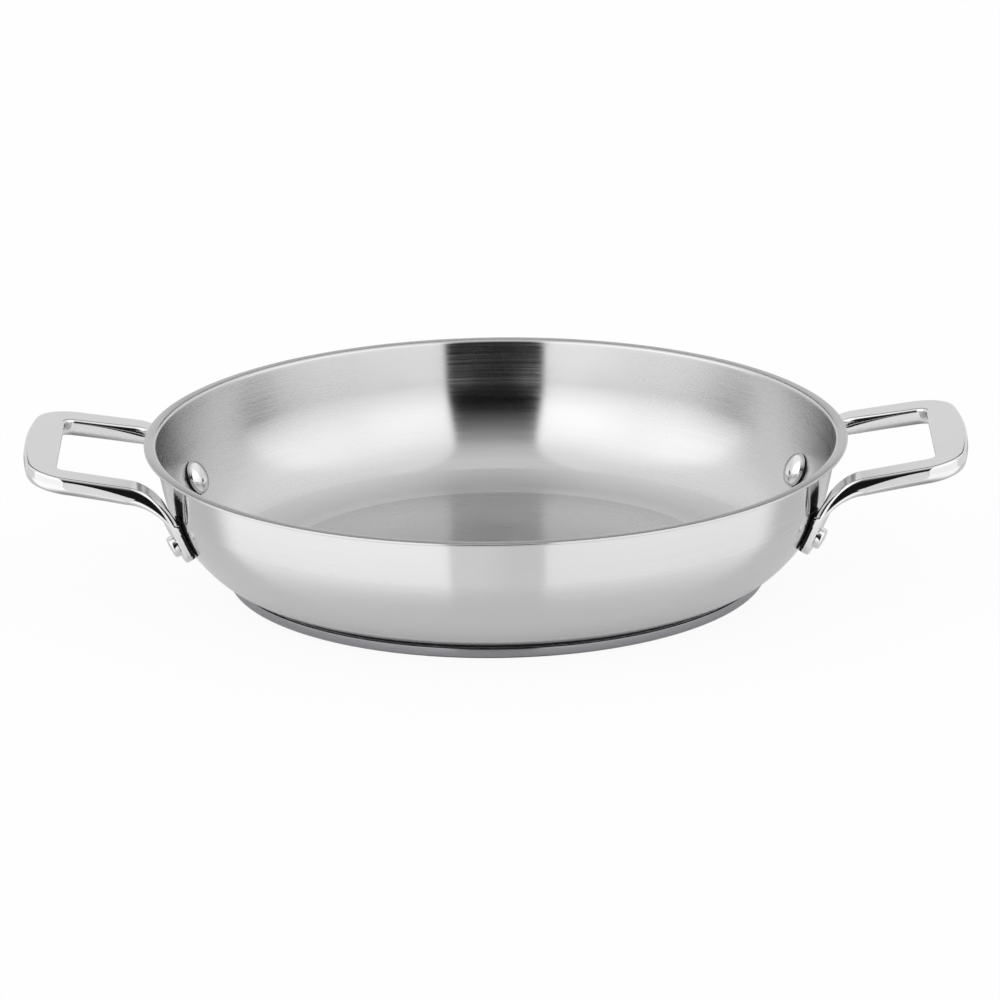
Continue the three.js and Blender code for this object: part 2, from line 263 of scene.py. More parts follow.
def stored(tree, label):
    """A number kept on the points under a name."""
    return node(tree, "GeometryNodeInputNamedAttribute", {"data_type": "FLOAT"}, {"Name": label}).outputs[0]


def object_place(tree):
    return node(tree, "ShaderNodeTexCoord").outputs["Object"]


def mix_level(tree, share, first, second):
    made = node(tree, "ShaderNodeMix", {"data_type": "FLOAT"}, {"Factor": share, "A": first, "B": second})
    return made.outputs[0]


def mix_shader(tree, share, first, second):
    return node(tree, "ShaderNodeMixShader", None, {0: share, 1: first, 2: second}).outputs[0]


def vector(tree, x, y, z):
    return node(tree, "ShaderNodeCombineXYZ", None, {0: x, 1: y, 2: z}).outputs[0]


def ramp(tree, value, low, high, start=0.0, end=1.0):
    """A smooth change from start to end while the value goes from low to high."""
    made = node(tree, "ShaderNodeMapRange", {"interpolation_type": "SMOOTHSTEP"},
                {"Value": value, "From Min": low, "From Max": high, "To Min": start, "To Max": end})
    return made.outputs["Result"]


# Turned pieces: a profile drawn as runs of points in geometry nodes, swept round the pan's axis

SWEEP_RADIUS = 0.1
RUN_STRIDE = 10000.0
MERGE = 1e-6
HALF_STEP = 0.5
SHARP = math.radians(40)


def new_geometry_tree(name, sizes, finishes):
    tree = bpy.data.node_groups.new(name, "GeometryNodeTree")
    tree.interface.new_socket("Geometry", in_out="OUTPUT", socket_type="NodeSocketGeometry")
    for label in sizes:
        tree.interface.new_socket(label, in_out="INPUT", socket_type="NodeSocketFloat")
    tree.interface.new_socket("Segments", in_out="INPUT", socket_type="NodeSocketInt")
    for label in finishes:
        tree.interface.new_socket(label, in_out="INPUT", socket_type="NodeSocketMaterial")
    return tree, tree.nodes.new("NodeGroupInput").outputs


class Profile:
    """The half outline of a turned piece: runs of points from the axis round to the axis again."""

    def __init__(self, tree):
        self.tree = tree
        self.runs = []

    def add(self, curve, zone):
        held = curve
        kept_as = {"data_type": "FLOAT", "domain": "POINT"}
        for label, value in (("run", float(len(self.runs))), ("zone", float(zone))):
            held = node(self.tree, "GeometryNodeStoreNamedAttribute", kept_as,
                        {"Geometry": held, "Name": label, "Value": value}).outputs[0]
        self.runs.append(held)

    def line(self, start, end, zone, points=2):
        made = node(self.tree, "GeometryNodeCurvePrimitiveLine", None,
                    {"Start": vector(self.tree, *start, 0.0), "End": vector(self.tree, *end, 0.0)})
        spaced = node(self.tree, "GeometryNodeResampleCurve", None,
                      {"Curve": made.outputs[0], "Count": points})
        self.add(spaced.outputs[0], zone)

    def arc(self, centre, radii, start, sweep, zone, points=9):
        made = node(self.tree, "GeometryNodeCurveArc", {"mode": "RADIUS"},
                    {"Resolution": points, "Radius": 1.0, "Start Angle": start, "Sweep Angle": sweep})
        placed = node(self.tree, "GeometryNodeTransform", None, {
            "Geometry": made.outputs[0], "Translation": vector(self.tree, *centre, 0.0),
            "Scale": vector(self.tree, *radii, 1.0)})
        self.add(placed.outputs[0], zone)

    def curve(self):
        """All runs as one curve, in their order."""
        joined = node(self.tree, "GeometryNodeJoinGeometry")
        for run in self.runs:
            self.tree.links.new(run, joined.inputs[0])
        points = node(self.tree, "GeometryNodeCurveToPoints", {"mode": "EVALUATED"},
                      {"Curve": joined.outputs[0]})
        order = times(self.tree, stored(self.tree, "run"), RUN_STRIDE)
        index = node(self.tree, "GeometryNodeInputIndex")
        weight = plus(self.tree, order, index.outputs[0])
        drawn = node(self.tree, "GeometryNodePointsToCurves", None,
                     {"Points": points.outputs[0], "Weight": weight})
        return drawn.outputs[0]

    def turned(self, segments):
        """The profile swept round the axis, with its poles closed."""
        tree = self.tree
        shifted = node(tree, "GeometryNodeTransform", None,
                       {"Geometry": self.curve(), "Translation": (-SWEEP_RADIUS, 0.0, 0.0),
                        "Rotation": (math.pi, 0.0, 0.0)})
        path = node(tree, "GeometryNodeCurvePrimitiveCircle", {"mode": "RADIUS"},
                    {"Resolution": segments, "Radius": SWEEP_RADIUS})
        swept = node(tree, "GeometryNodeCurveToMesh", None,
                     {"Curve": path.outputs[0], "Profile Curve": shifted.outputs[0]})
        closed = node(tree, "GeometryNodeMergeByDistance", None,
                      {"Geometry": swept.outputs[0], "Distance": MERGE})
        return node(tree, "GeometryNodeFlipFaces", None, {"Mesh": closed.outputs[0]}).outputs[0]


def shaded(tree, geometry):
    """Smooth faces, with the sharp corners of the section kept."""
    smooth = node(tree, "GeometryNodeSetShadeSmooth", {"domain": "FACE"}, {"Geometry": geometry})
    corner = node(tree, "GeometryNodeInputMeshEdgeAngle")
    sharp = node(tree, "FunctionNodeCompare", {"data_type": "FLOAT", "operation": "GREATER_THAN"},
                 {0: corner.outputs[0], 1: SHARP})
    kept = node(tree, "GeometryNodeSetShadeSmooth", {"domain": "EDGE"},
                {"Geometry": smooth.outputs[0], "Selection": sharp.outputs[0], "Shade Smooth": False})
    return kept.outputs[0]


def painted(tree, geometry, finishes):
    """Real faces, each zone of the profile in its own finish."""
    held = node(tree, "GeometryNodeRealizeInstances", None, {"Geometry": geometry}).outputs[0]
    zone = stored(tree, "zone")
    for number, finish in enumerate(finishes):
        past = node(tree, "FunctionNodeCompare", {"data_type": "FLOAT", "operation": "GREATER_THAN"},
                    {0: zone, 1: number - HALF_STEP})
        held = node(tree, "GeometryNodeSetMaterial", None,
                    {"Geometry": held, "Selection": past.outputs[0], "Material": finish}).outputs[0]
    node(tree, "NodeGroupOutput", None, {0: held})


def plain_mesh(name, tree, values):
    """An object whose mesh is the tree's result, with nothing live left on it."""
    made = bpy.data.objects.new(name, bpy.data.meshes.new(name))
    bpy.context.scene.collection.objects.link(made)
    shape = made.modifiers.new("Shape", "NODES")
    shape.node_group = tree
    for item in tree.interface.items_tree:
        if item.item_type == "SOCKET" and item.in_out == "INPUT":
            shape[item.identifier] = values[item.name]
    graph = bpy.context.evaluated_depsgraph_get()
    mesh = bpy.data.meshes.new_from_object(made.evaluated_get(graph), depsgraph=graph)
    made.modifiers.clear()
    made.data = mesh
    mesh.name = name
    if not mesh.polygons:
        raise RuntimeError(f"{name} came out empty")
    return made


def hand_over(piece, slot, *nodes):
    """The piece rides on the pan and stands for its CAD nodes."""
    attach(piece, BODY)
    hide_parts(*nodes)


# The bowl's shape, shared by the pieces that fit to it

BowlShape = namedtuple("BowlShape", "floor_radius heel_radius side_radius side_middle side_height flare")
RivetSeat = namedtuple("RivetSeat", "radius height slope turn")
SEATING_STEPS = 6


def bowl_shape(scene):
    """The bowl's outer face: a tight heel up from the floor, a wider curve, then a straight flared wall."""
    bowl = scene.pan_bowl
    heel_radius = bowl.heel_rise / (1 - math.sin(bowl.heel_tilt))
    wall_foot = bowl.height - bowl.wall_depth
    side_rise = wall_foot - bowl.bottom - bowl.heel_rise
    side_radius = side_rise / (math.sin(bowl.heel_tilt) - math.sin(bowl.flare))
    foot_radius = bowl.rim_radius - bowl.flange_width - bowl.wall_depth * math.tan(bowl.flare)
    side_middle = foot_radius - side_radius * math.cos(bowl.flare)
    side_height = wall_foot + side_radius * math.sin(bowl.flare)
    floor_radius = side_middle + (side_radius - heel_radius) * math.cos(bowl.heel_tilt)
    return BowlShape(floor_radius, heel_radius, side_radius, side_middle, side_height, bowl.flare)


def rivet_seat(scene):
    """Where a rivet crosses the bowl's outer face, in a plane through the pan's axis."""
    shape = bowl_shape(scene)
    height = scene.pan_bowl.height - scene.pan_rivets.drop
    slope = math.asin((shape.side_height - height) / shape.side_radius)
    radius = shape.side_middle + shape.side_radius * math.cos(slope)
    return RivetSeat(radius, height, slope, math.asin(scene.pan_rivets.spread / radius))


def inside_wall(shape, radius, height, offset):
    """How deep a point lies inside the bowl's offset outer face, and that face's direction there."""
    out = Vector((radius - shape.side_middle, height - shape.side_height))
    leaning = Vector((math.cos(shape.flare), -math.sin(shape.flare)))
    facing = leaning if out.x * -leaning.y + out.y * leaning.x > 0 else out.normalized()
    return shape.side_radius + offset - out.dot(facing), facing


def outside_wall(shape, point, offset):
    """The point, moved out on to the bowl's offset outer face if it lies inside that."""
    for _ in range(SEATING_STEPS):
        across = Vector((point.x, point.y, 0.0))
        depth, facing = inside_wall(shape, across.length, point.z, offset)
        if depth <= 0:
            break
        point = point + (across.normalized() * facing.x + Vector((0.0, 0.0, facing.y))) * depth
    return point


# Bowl

GROOVE_SHADE, OUTSIDE, RIM, INSIDE, RING, FLOOR = range(6)
BOWL_SIZES = ("Rim Radius", "Height", "Bottom", "Wall", "Rim Edge", "Rim Fillet", "Floor Radius",
              "Heel Radius", "Heel Tilt", "Side Radius", "Side Middle", "Side Height", "Flare",
              "Painted Shade Radius", "Hole Radius", "Hole Seat Radius", "Hole Seat Height", "Hole Slope",
              "Hole Turn", "Inner Tilt", "Inner Heel", "Inner Floor", "Ring Tilt")
BOWL_FINISHES = ("Painted Shade Finish", "Outside Finish", "Rim Finish", "Inside Finish", "Ring Finish",
                 "Floor Finish")
BOTTOM_EDGE = 0.98
FLOOR_EDGE = 0.925
RING_EDGE = 0.995
WALL_POINTS = 16
HOLE_LENGTH = 8 * MM
HOLE_FACES = 48
RIVET_COUNT = 4


def seat_points(tree, radius, height, slope, turn):
    """Four points on the wall, two for each handle, and the turn that lays Z along each rivet."""
    index = node(tree, "GeometryNodeInputIndex").outputs[0]
    side = maths(tree, "FLOOR", times(tree, index, 0.5))
    rear = minus(tree, index, times(tree, side, 2.0))
    legs = times(tree, turn, minus(tree, 1.0, times(tree, rear, 2.0)))
    around = plus(tree, times(tree, side, math.pi), legs)
    place = vector(tree, times(tree, radius, maths(tree, "COSINE", around)),
                   times(tree, radius, maths(tree, "SINE", around)), height)
    points = node(tree, "GeometryNodePoints", None, {"Count": RIVET_COUNT, "Position": place}).outputs[0]
    turns = vector(tree, 0.0, plus(tree, slope, QUARTER), around)
    rotation = node(tree, "FunctionNodeEulerToRotation", None, {0: turns}).outputs[0]
    return points, rotation


def bowl_tree():
    tree, size = new_geometry_tree("Bowl", BOWL_SIZES, BOWL_FINISHES)
    wall, edge, fillet, height = size["Wall"], size["Rim Edge"], size["Rim Fillet"], size["Height"]
    floor_radius, heel, tilt = size["Floor Radius"], size["Heel Radius"], size["Heel Tilt"]
    side, flare = size["Side Radius"], size["Flare"]
    cosine, sine = maths(tree, "COSINE", flare), maths(tree, "SINE", flare)
    heel_middle = (floor_radius, plus(tree, size["Bottom"], heel))
    side_middle = (size["Side Middle"], size["Side Height"])
    under = minus(tree, fillet, wall)
    fillet_y = minus(tree, height, fillet)
    wall_rise = times(tree, minus(tree, fillet_y, size["Side Height"]), sine)
    reach = plus(tree, side, plus(tree, under, wall_rise))
    fillet_x = plus(tree, size["Side Middle"], divided(tree, reach, cosine))
    fillet_start = minus(tree, math.pi, flare)
    fillet_sweep = minus(tree, QUARTER, flare)
    edge_x = minus(tree, size["Rim Radius"], edge)
    underside = minus(tree, height, wall)
    inner_floor = plus(tree, size["Bottom"], wall)
    inner_tilt, inner_heel, ring_tilt = size["Inner Tilt"], size["Inner Heel"], size["Ring Tilt"]
    inner_side = minus(tree, side, wall)
    inner_middle = (size["Inner Floor"], plus(tree, inner_floor, inner_heel))
    shade_run = divided(tree, minus(tree, size["Painted Shade Radius"], floor_radius), heel)
    shade_turn = maths(tree, "ARCSINE", shade_run)
    heel_turn, side_turn = minus(tree, QUARTER, tilt), minus(tree, tilt, flare)

    def on_wall(middle, radius):
        """The point of a circle that faces along the flared wall's normal."""
        return (plus(tree, middle[0], times(tree, radius, cosine)),
                minus(tree, middle[1], times(tree, radius, sine)))

    def off_wall(radius):
        """The point of a rim fillet where it runs into the flared wall."""
        return (minus(tree, fillet_x, times(tree, radius, cosine)),
                plus(tree, fillet_y, times(tree, radius, sine)))

    outline = Profile(tree)
    bottom_end = times(tree, floor_radius, BOTTOM_EDGE)
    # Painted shade: the outer bottom, out to just past the cup's edge, takes the near-black finish that
    # stands for the shadowed groove.
    outline.line((0.0, size["Bottom"]), (bottom_end, size["Bottom"]), GROOVE_SHADE, points=8)
    outline.arc(heel_middle, (heel, heel), -QUARTER, shade_turn, GROOVE_SHADE, points=8)
    outline.arc(heel_middle, (heel, heel), minus(tree, shade_turn, QUARTER),
                minus(tree, heel_turn, shade_turn), OUTSIDE, points=14)
    outline.arc(side_middle, (side, side), negative(tree, tilt), side_turn, OUTSIDE, points=32)
    outline.line(on_wall(side_middle, side), off_wall(under), OUTSIDE, WALL_POINTS)
    outline.arc((fillet_x, fillet_y), (under, under), fillet_start, negative(tree, fillet_sweep), OUTSIDE)
    outline.arc((edge_x, plus(tree, underside, edge)), (edge, edge), -QUARTER, QUARTER, RIM)
    outline.arc((edge_x, minus(tree, height, edge)), (edge, edge), 0.0, QUARTER, RIM)
    outline.arc((fillet_x, fillet_y), (fillet, fillet), QUARTER, fillet_sweep, RIM, points=12)
    outline.line(off_wall(fillet), on_wall(side_middle, inner_side), INSIDE, WALL_POINTS)
    outline.arc(side_middle, (inner_side, inner_side), negative(tree, flare),
                minus(tree, flare, inner_tilt), INSIDE, points=16)
    outline.arc(inner_middle, (inner_heel, inner_heel), negative(tree, inner_tilt),
                minus(tree, inner_tilt, ring_tilt), INSIDE, points=20)
    outline.arc(inner_middle, (inner_heel, inner_heel), negative(tree, ring_tilt),
                minus(tree, ring_tilt, QUARTER), RING, points=16)
    ring_start = times(tree, size["Inner Floor"], RING_EDGE)
    ring_end = times(tree, size["Inner Floor"], FLOOR_EDGE)
    outline.line((ring_start, inner_floor), (ring_end, inner_floor), RING, points=3)
    outline.line((times(tree, ring_end, RING_EDGE), inner_floor), (0.0, inner_floor), FLOOR, points=8)
    points, rotation = seat_points(tree, size["Hole Seat Radius"], size["Hole Seat Height"],
                                   size["Hole Slope"], size["Hole Turn"])
    drill = node(tree, "GeometryNodeMeshCylinder", None,
                 {"Vertices": HOLE_FACES, "Radius": size["Hole Radius"], "Depth": HOLE_LENGTH}).outputs[0]
    drills = node(tree, "GeometryNodeInstanceOnPoints", None,
                  {"Points": points, "Instance": drill, "Rotation": rotation}).outputs[0]
    turned = shaded(tree, outline.turned(size["Segments"]))
    drilled = node(tree, "GeometryNodeMeshBoolean", {"operation": "DIFFERENCE", "solver": "EXACT"},
                   {"Mesh 1": turned, "Mesh 2": drills})
    painted(tree, drilled.outputs[0], [size[label] for label in BOWL_FINISHES])
    return tree


class PAN_OT_make_bowl(bpy.types.Operator):
    """Turns the bowl with its flat rim and drills its rivet holes"""
    bl_idname = "pan.make_bowl"
    bl_label = "Bowl"

    def execute(self, context):
        scene = context.scene
        bowl, shape, seat = scene.pan_bowl, bowl_shape(scene), rivet_seat(scene)
        metals, rivet = scene.pan_finish, scene.pan_rivets
        inner_side, slope = shape.side_radius - bowl.wall, math.sin(bowl.inner_tilt)
        inner_heel = (shape.side_height - inner_side * slope - bowl.bottom - bowl.wall) / (1 - slope)
        inner_floor = shape.side_middle + (inner_side - inner_heel) * math.cos(bowl.inner_tilt)
        piece = plain_mesh("bowl", bowl_tree(), {
            "Rim Radius": bowl.rim_radius, "Height": bowl.height, "Bottom": bowl.bottom, "Wall": bowl.wall,
            "Rim Edge": bowl.rim_edge, "Rim Fillet": bowl.rim_fillet, "Floor Radius": shape.floor_radius,
            "Heel Radius": shape.heel_radius, "Heel Tilt": bowl.heel_tilt, "Side Radius": shape.side_radius,
            "Side Middle": shape.side_middle, "Side Height": shape.side_height, "Flare": bowl.flare,
            "Inner Tilt": bowl.inner_tilt, "Inner Heel": inner_heel, "Inner Floor": inner_floor,
            "Ring Tilt": bowl.ring_tilt, "Segments": bowl.segments,
            "Painted Shade Radius": scene.pan_base.radius + bowl.painted_shade_reach,
            "Hole Radius": rivet.shank + rivet.gap, "Hole Seat Radius": seat.radius,
            "Hole Seat Height": seat.height, "Hole Slope": seat.slope, "Hole Turn": seat.turn,
            "Painted Shade Finish": painted_shade_metal("Painted Shade Metal", metals.painted_shading),
            "Outside Finish": brushed_steel("Outer Wall Steel", metals.satin, 0.13),
            "Rim Finish": brushed_steel("Rim Steel", metals.satin, 0.2),
            "Inside Finish": brushed_steel("Inner Satin Steel", metals.satin, 0.14, stretch=0.7,
                                           coarser=0.13, upper_shade=0.65),
            "Ring Finish": brushed_steel("Inner Ring Steel", metals.satin, 0.38, stretch=0.7,
                                         contrast=0.01),
            "Floor Finish": brushed_steel("Inner Floor Steel", metals.floor_steel, 0.3, contrast=0.01),
        })
        hand_over(piece, "body_steel", "pan_body")
        return {"FINISHED"}


# Base

BASE_SIZES = ("Radius", "Height", "Thickness", "Edge", "Lip")
CUP_EDGE = 0.99


def base_tree():
    tree, size = new_geometry_tree("Base Cup", BASE_SIZES, ("Finish", "Painted Shade Finish"))
    edge, lip, height = size["Edge"], size["Lip"], size["Height"]
    corner = minus(tree, size["Radius"], edge)
    inner_edge = minus(tree, edge, size["Thickness"])
    inner_wall = minus(tree, size["Radius"], size["Thickness"])
    lip_x, lip_y = minus(tree, size["Radius"], lip), minus(tree, height, lip)
    flat_end = times(tree, corner, CUP_EDGE)
    outline = Profile(tree)
    outline.line((0.0, 0.0), (flat_end, 0.0), 0, points=10)
    outline.arc((corner, edge), (edge, edge), -QUARTER, QUARTER, 0)
    outline.arc((lip_x, lip_y), (lip, lip), 0.0, QUARTER, 0, points=6)
    # Painted shade: the cup's inner side and top, seen down the groove, take the near-black finish.
    outline.line((inner_wall, height), (inner_wall, edge), 1)
    outline.arc((corner, edge), (inner_edge, inner_edge), 0.0, -QUARTER, 1)
    outline.line((flat_end, size["Thickness"]), (0.0, size["Thickness"]), 1, points=4)
    painted(tree, shaded(tree, outline.turned(size["Segments"])), [size["Finish"], size["Painted Shade Finish"]])
    return tree


class PAN_OT_make_base(bpy.types.Operator):
    """Turns the cup under the bowl and finishes the disc that it holds"""
    bl_idname = "pan.make_base"
    bl_label = "Base"

    def execute(self, context):
        scene = context.scene
        base = scene.pan_base
        piece = plain_mesh("base_cup", base_tree(), {
            "Radius": base.radius, "Height": base.height, "Thickness": base.thickness, "Edge": base.edge,
            "Lip": base.lip, "Segments": scene.pan_bowl.segments,
            "Finish": brushed_steel("Base Cup Steel", scene.pan_finish.cap, 0.22),
            "Painted Shade Finish": painted_shade_metal("Painted Shade Metal", scene.pan_finish.painted_shading),
        })
        hand_over(piece, "cap_steel", "base_cap")
        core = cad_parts["base_core"]
        core.data.materials.clear()
        core.data.materials.append(rolled_aluminium(scene.pan_finish.core))
        return {"FINISHED"}


# Handles

Edges = namedtuple("Edges", "upper_run upper_rise lower_run lower_rise")
Station = namedtuple("Station", "centre side up half_width below above edges")
EDGE_STEPS = 10
FLAT_SHARES = (0.06, 0.25, 0.5, 0.75, 0.94)
BAR_STEPS = 8
CORNER_STEPS = 28
LEG_STEPS = 12
BEND_STEPS = 44
FOOT_STEPS = 10
ROUND_STEPS = 8
LEG_DRILL = 32 * MM
SEAM_REACH = 1.4 * MM
SHADE_REACH = 8 * MM
SHADE_TURN = math.radians(30)


def section_outline(station):
    """The rounded section of a station: x out of the loop, y from the underside to the top."""
    half, edges = station.half_width, station.edges
    top, bottom = station.above - edges.upper_rise, edges.lower_rise - station.below
    corners = (
        (half - edges.upper_run, top, edges.upper_run, edges.upper_rise),
        (edges.upper_run - half, top, edges.upper_run, edges.upper_rise),
        (edges.lower_run - half, bottom, edges.lower_run, edges.lower_rise),
        (half - edges.lower_run, bottom, edges.lower_run, edges.lower_rise),
    )
    arcs = []
    for turn, (x, y, across, upright) in enumerate(corners):
        angles = [(turn + step / EDGE_STEPS) * QUARTER for step in range(EDGE_STEPS + 1)]
        arcs.append([Vector((x + across * math.cos(a), y + upright * math.sin(a))) for a in angles])
    outline = []
    for number, points in enumerate(arcs):
        following = arcs[(number + 1) % len(arcs)][0]
        outline += points
        outline += [points[-1].lerp(following, share) for share in FLAT_SHARES]
    return outline


class HandleLines:
    """The lines that one handle is built on: its loop, its bend and its foot on the wall."""

    def __init__(self, scene):
        size, bowl, gap = scene.pan_handle, scene.pan_bowl, scene.pan_rivets.gap
        seat = rivet_seat(scene)
        self.size = size
        self.shape = bowl_shape(scene)
        self.gap = gap
        radial = Vector((math.cos(seat.turn), math.sin(seat.turn), 0.0))
        self.tangent = Vector((-radial.y, radial.x, 0.0))
        self.normal = radial * math.cos(seat.slope) - Vector((0.0, 0.0, math.sin(seat.slope)))
        self.down = self.tangent.cross(self.normal)
        self.rivet = radial * seat.radius + Vector((0.0, 0.0, seat.height))
        self.foot = self.rivet + self.normal * (gap + size.foot_thickness / 2)
        self.foot_top = self.foot - self.down * size.foot_above
        self.root_x = bowl.rim_radius + size.root_clearance
        self.root_z = bowl.height - size.drop
        self.root_y = self.foot_top.y - (self.root_x - self.foot_top.x) * math.tan(size.taper)
        self.up = Vector((-math.sin(size.tilt), 0.0, math.cos(size.tilt)))
        self.leg_out = Vector((math.sin(size.taper), math.cos(size.taper), 0.0))
        self.bar_edges = Edges(size.bar_upper_run, size.bar_upper_rise,
                               size.bar_lower_run, size.bar_lower_rise)
        self.leg_edges = Edges(size.leg_upper_run, size.leg_upper_rise,
                               size.leg_lower_run, size.leg_lower_rise)
        self.foot_edges = Edges(size.foot_inner_run, size.foot_inner_rise, size.foot_edge, size.foot_edge)

    def on_grip(self, x, y):
        return Vector((x, y, self.root_z + (x - self.root_x) * math.tan(self.size.tilt)))

    def leg_line(self, x, offset):
        """Distance from the handle's middle of a line beside the leg's own."""
        return self.root_y + (offset - (x - self.root_x) * self.leg_out.x) / self.leg_out.y

    def on_arc(self, x, y, radius, turn):
        return self.on_grip(x + radius * math.cos(turn), y + radius * math.sin(turn))

    def grip_station(self, inside, outside, edges):
        side = outside - inside
        half = self.size.thickness / 2
        middle = (inside + outside) / 2
        return Station(middle, side.normalized(), self.up, side.length / 2, half, half, edges)

    def grip_stations(self):
        """Half of the loop, from the middle of the bowed bar round its corner to the leg's root."""
        size, leg_half = self.size, self.size.leg_width / 2
        bar_inside = size.end - size.bar_width
        inner_x = bar_inside - size.inner_corner
        inner_y = self.leg_line(inner_x, -leg_half - size.inner_corner)
        bow_x, bow_rest = size.end - size.bow_radius, size.bow_radius - size.outer_corner
        leg_offset = leg_half - size.outer_corner + self.root_y * self.leg_out.y
        leg_offset -= (bow_x - self.root_x) * self.leg_out.x
        bow_turn = math.asin(leg_offset / bow_rest) - size.taper
        outer_x, outer_y = bow_x + bow_rest * math.cos(bow_turn), bow_rest * math.sin(bow_turn)
        stations = []
        for step in range(BAR_STEPS):
            share = step / BAR_STEPS
            inside = self.on_grip(bar_inside, inner_y * share)
            outside = self.on_arc(bow_x, 0.0, size.bow_radius, bow_turn * share)
            stations.append(self.grip_station(inside, outside, self.bar_edges))
        corner_end = QUARTER - size.taper
        for step in range(CORNER_STEPS + 1):
            share = step / CORNER_STEPS
            inside = self.on_arc(inner_x, inner_y, size.inner_corner, corner_end * share)
            outside = self.on_arc(outer_x, outer_y, size.outer_corner, mixed(bow_turn, corner_end, share))
            stations.append(self.grip_station(inside, outside, self.bar_edges))
        root = self.on_grip(self.root_x, self.root_y)
        for step in range(1, LEG_STEPS + 1):
            share = step / LEG_STEPS
            edges = mixed_edges(self.bar_edges, self.leg_edges, share * share)
            leg_inside = inside.lerp(root - self.leg_out * leg_half, share)
            leg_outside = outside.lerp(root + self.leg_out * leg_half, share)
            stations.append(self.grip_station(leg_inside, leg_outside, edges))
        return stations

    def bend_stations(self):
        """The leg turns down on to the wall, thins to the foot and twists to lie along the wall."""
        size = self.size
        root = self.on_grip(self.root_x, self.root_y)
        ease = (root - self.foot_top).length * size.bend_ease
        inward = self.up.cross(self.leg_out).normalized()
        bend = (root, root + inward * ease, self.foot_top - self.down * ease, self.foot_top)
        stations = []
        for step in range(1, BEND_STEPS):
            share = step / BEND_STEPS
            centre, along = bezier(bend, share)
            side = self.leg_out.lerp(self.tangent, share)
            side = (side - along * side.dot(along)).normalized()
            half = mixed(size.thickness, size.foot_thickness, share) / 2
            edges = mixed_edges(self.leg_edges, self.foot_edges, share)
            stations.append(Station(centre, side, side.cross(along), size.leg_width / 2, half, half, edges))
        return stations

    def foot_station(self, down, half_width):
        half = self.size.foot_thickness / 2
        return Station(self.foot + self.down * down, self.tangent, -self.normal, half_width, half,
                       half + self.size.foot_seat, self.foot_edges)

    def foot_stations(self):
        size = self.size
        half = size.leg_width / 2
        straight_end = size.foot_below - size.foot_corner
        stations = []
        for step in range(FOOT_STEPS):
            down = mixed(-size.foot_above, straight_end, step / FOOT_STEPS)
            stations.append(self.foot_station(down, half))
        for step in range(ROUND_STEPS + 1):
            turn = QUARTER * step / ROUND_STEPS
            down = straight_end + size.foot_corner * math.sin(turn)
            narrowed = half - size.foot_corner * (1 - math.cos(turn))
            stations.append(self.foot_station(down, narrowed))
        return stations


def mixed(first, second, share):
    return first + (second - first) * share


def mixed_edges(first, second, share):
    return Edges(*[mixed(one, other, share) for one, other in zip(first, second)])


def bezier(points, share):
    """Point and direction on a cubic curve."""
    first, second, third, last = points
    rest = 1 - share
    place = (first * rest ** 3 + second * 3 * rest * rest * share
             + third * 3 * rest * share ** 2 + last * share ** 3)
    along = ((second - first) * rest ** 2 + (third - second) * 2 * rest * share
             + (last - third) * share ** 2)
    return place, along.normalized()


def handle_skin(lines):
    """A closed mesh through all sections of the loop, shaped to the wall where it sits on it."""
    half = lines.grip_stations() + lines.bend_stations() + lines.foot_stations()
    rings = []
    for station in half:
        points = [station.centre + station.side * p.x + station.up * p.y for p in section_outline(station)]
        rings.append([outside_wall(lines.shape, p, lines.gap) for p in points])
    other = [[Vector((p.x, -p.y, p.z)) for p in ring] for ring in rings[1:]]
    rings = rings[:0:-1] + [rings[0]] + other
    size = len(rings[0])
    skin = bmesh.new()
    corners = [[skin.verts.new(p) for p in ring] for ring in rings]
    for ring, following in zip(corners, corners[1:]):
        for here in range(size):
            there = (here + 1) % size
            skin.faces.new((ring[here], ring[there], following[there], following[here]))
    skin.faces.new(corners[0])
    skin.faces.new(corners[-1])
    bmesh.ops.recalc_face_normals(skin, faces=skin.faces)
    return skin


def drill_mesh(lines, radius):
    """Two drills along the rivets of one handle."""
    drill = bmesh.new()
    for mirror in (1, -1):
        axis = Vector((lines.normal.x, lines.normal.y * mirror, lines.normal.z))
        place = Vector((lines.rivet.x, lines.rivet.y * mirror, lines.rivet.z))
        turn = axis.to_track_quat("Z", "Y").to_matrix().to_4x4()
        bmesh.ops.create_cone(drill, cap_ends=True, segments=HOLE_FACES, radius1=radius, radius2=radius,
                              depth=LEG_DRILL, matrix=Matrix.Translation(place) @ turn)
    mesh = bpy.data.meshes.new("handle_drill")
    drill.to_mesh(mesh)
    drill.free()
    return mesh


def drilled(piece, drill):
    """Cuts the drill out of the piece for good."""
    tool = bpy.data.objects.new("handle_drill", drill)
    bpy.context.scene.collection.objects.link(tool)
    cut = piece.modifiers.new("Rivet Holes", "BOOLEAN")
    cut.operation = "DIFFERENCE"
    cut.solver = "EXACT"
    cut.object = tool
    graph = bpy.context.evaluated_depsgraph_get()
    mesh = bpy.data.meshes.new_from_object(piece.evaluated_get(graph), depsgraph=graph)
    piece.modifiers.clear()
    piece.data = mesh
    bpy.data.objects.remove(tool)


def in_painted_shade(lines, face):
    """True by the seam with the wall, and on the leg's side towards it: the faces that get the near-black
    painted shade that stands for the dark reflections between foot and wall.
    """
    across = Vector((face.center.x, face.center.y, 0.0))
    depth, facing = inside_wall(lines.shape, across.length, face.center.z, lines.gap)
    outward = across.normalized() * facing.x + Vector((0.0, 0.0, facing.y))
    to_wall = face.normal.dot(-outward) > math.cos(SHADE_TURN)
    return -depth < (SHADE_REACH if to_wall else SEAM_REACH)


